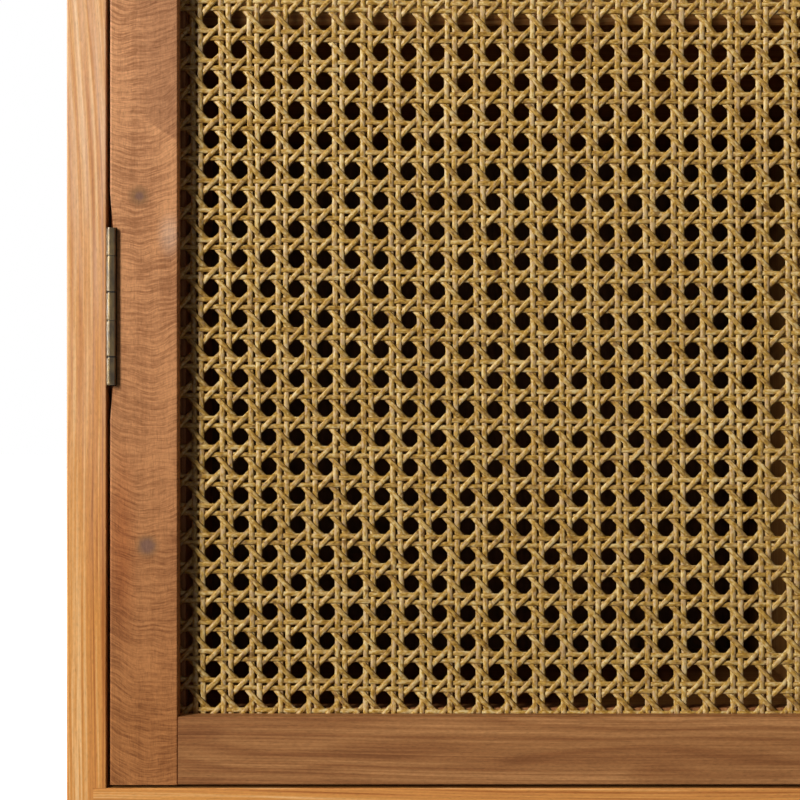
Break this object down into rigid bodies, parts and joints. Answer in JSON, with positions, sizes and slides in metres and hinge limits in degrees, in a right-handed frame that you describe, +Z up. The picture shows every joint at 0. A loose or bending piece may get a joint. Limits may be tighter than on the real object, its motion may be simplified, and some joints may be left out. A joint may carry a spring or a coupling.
{
  "type": "record cabinet",
  "caption": "Wooden record cabinet on a low stand, with a pair of inset doors of woven cane in narrow frames, butt hinges, round knobs, and shelved bays behind.",
  "frame": {"origin": "on the floor, under the middle of the whole object, knobs included", "axes": "+X to the right seen from the front, +Y towards the back, +Z up"},
  "size_m": [0.816, 0.424, 0.875],
  "materials": {
    "case_wood": "oiled, straight vertical grain, light orange brown, the inner faces stained brown",
    "door_wood": "oiled, reddish brown, fine ripple figure and small knots",
    "stand_wood": "oiled, reddish brown",
    "back_plywood": "plywood, stained brown",
    "dowel_wood": "bare beech",
    "woven_cane": "natural cane, six-way weave with octagonal holes",
    "antique_brass": "antique, brushed",
    "steel": "zinc plated",
    "magnet": "ceramic magnet",
    "catch_plastic": "brown moulded",
    "glide_plastic": "nylon"
  },
  "bodies": {
    "case": {"back_screws": "steel", "bottom_panel": "case_wood", "catch_screws": "steel", "centre_partition": "case_wood", "corner_blocks": "stand_wood", "front_apron": "stand_wood", "front_left_leg": "stand_wood", "front_right_leg": "stand_wood", "left_back_panel": "back_plywood", "left_catch_body": "catch_plastic", "left_catch_magnet": "magnet", "left_hinge_frame_leaves": "antique_brass", "left_hinge_frame_screws": "antique_brass", "left_hinge_pins": "antique_brass", "left_shelf": "case_wood", "left_side_apron": "stand_wood", "left_side_panel": "case_wood", "leg_glides": "glide_plastic", "rear_apron": "stand_wood", "rear_left_leg": "stand_wood", "rear_right_leg": "stand_wood", "right_back_panel": "back_plywood", "right_catch_body": "catch_plastic", "right_catch_magnet": "magnet", "right_hinge_frame_leaves": "antique_brass", "right_hinge_frame_screws": "antique_brass", "right_hinge_pins": "antique_brass", "right_shelf": "case_wood", "right_side_apron": "stand_wood", "right_side_panel": "case_wood", "stand_cross_rail": "stand_wood", "stand_screws": "steel", "top_dowels": "dowel_wood", "top_panel": "case_wood"},
    "left_door": {"left_door_hinge_stile": "door_wood", "left_door_meeting_stile": "door_wood", "left_door_bottom_rail": "door_wood", "left_door_top_rail": "door_wood", "left_door_cane_panel": "woven_cane", "left_door_cane_beads": "door_wood", "left_knob": "antique_brass", "left_knob_screw": "steel", "left_hinge_door_leaves": "antique_brass", "left_hinge_door_screws": "antique_brass", "left_catch_strike": "steel", "left_strike_screw": "steel"},
    "right_door": {"right_door_hinge_stile": "door_wood", "right_door_meeting_stile": "door_wood", "right_door_bottom_rail": "door_wood", "right_door_top_rail": "door_wood", "right_door_cane_panel": "woven_cane", "right_door_cane_beads": "door_wood", "right_knob": "antique_brass", "right_knob_screw": "steel", "right_hinge_door_leaves": "antique_brass", "right_hinge_door_screws": "antique_brass", "right_catch_strike": "steel", "right_strike_screw": "steel"}
  },
  "joints": [
    {"name": "left_door_hinge", "type": "hinge", "parent": "case", "child": "left_door", "pos_m": [-0.3798, -0.1888, 0.4955], "axis": [0, 0, -1], "range_deg": [0, 180]},
    {"name": "right_door_hinge", "type": "hinge", "parent": "case", "child": "right_door", "pos_m": [0.3798, -0.1888, 0.4955], "axis": [0, 0, 1], "range_deg": [0, 180]}
  ]
}
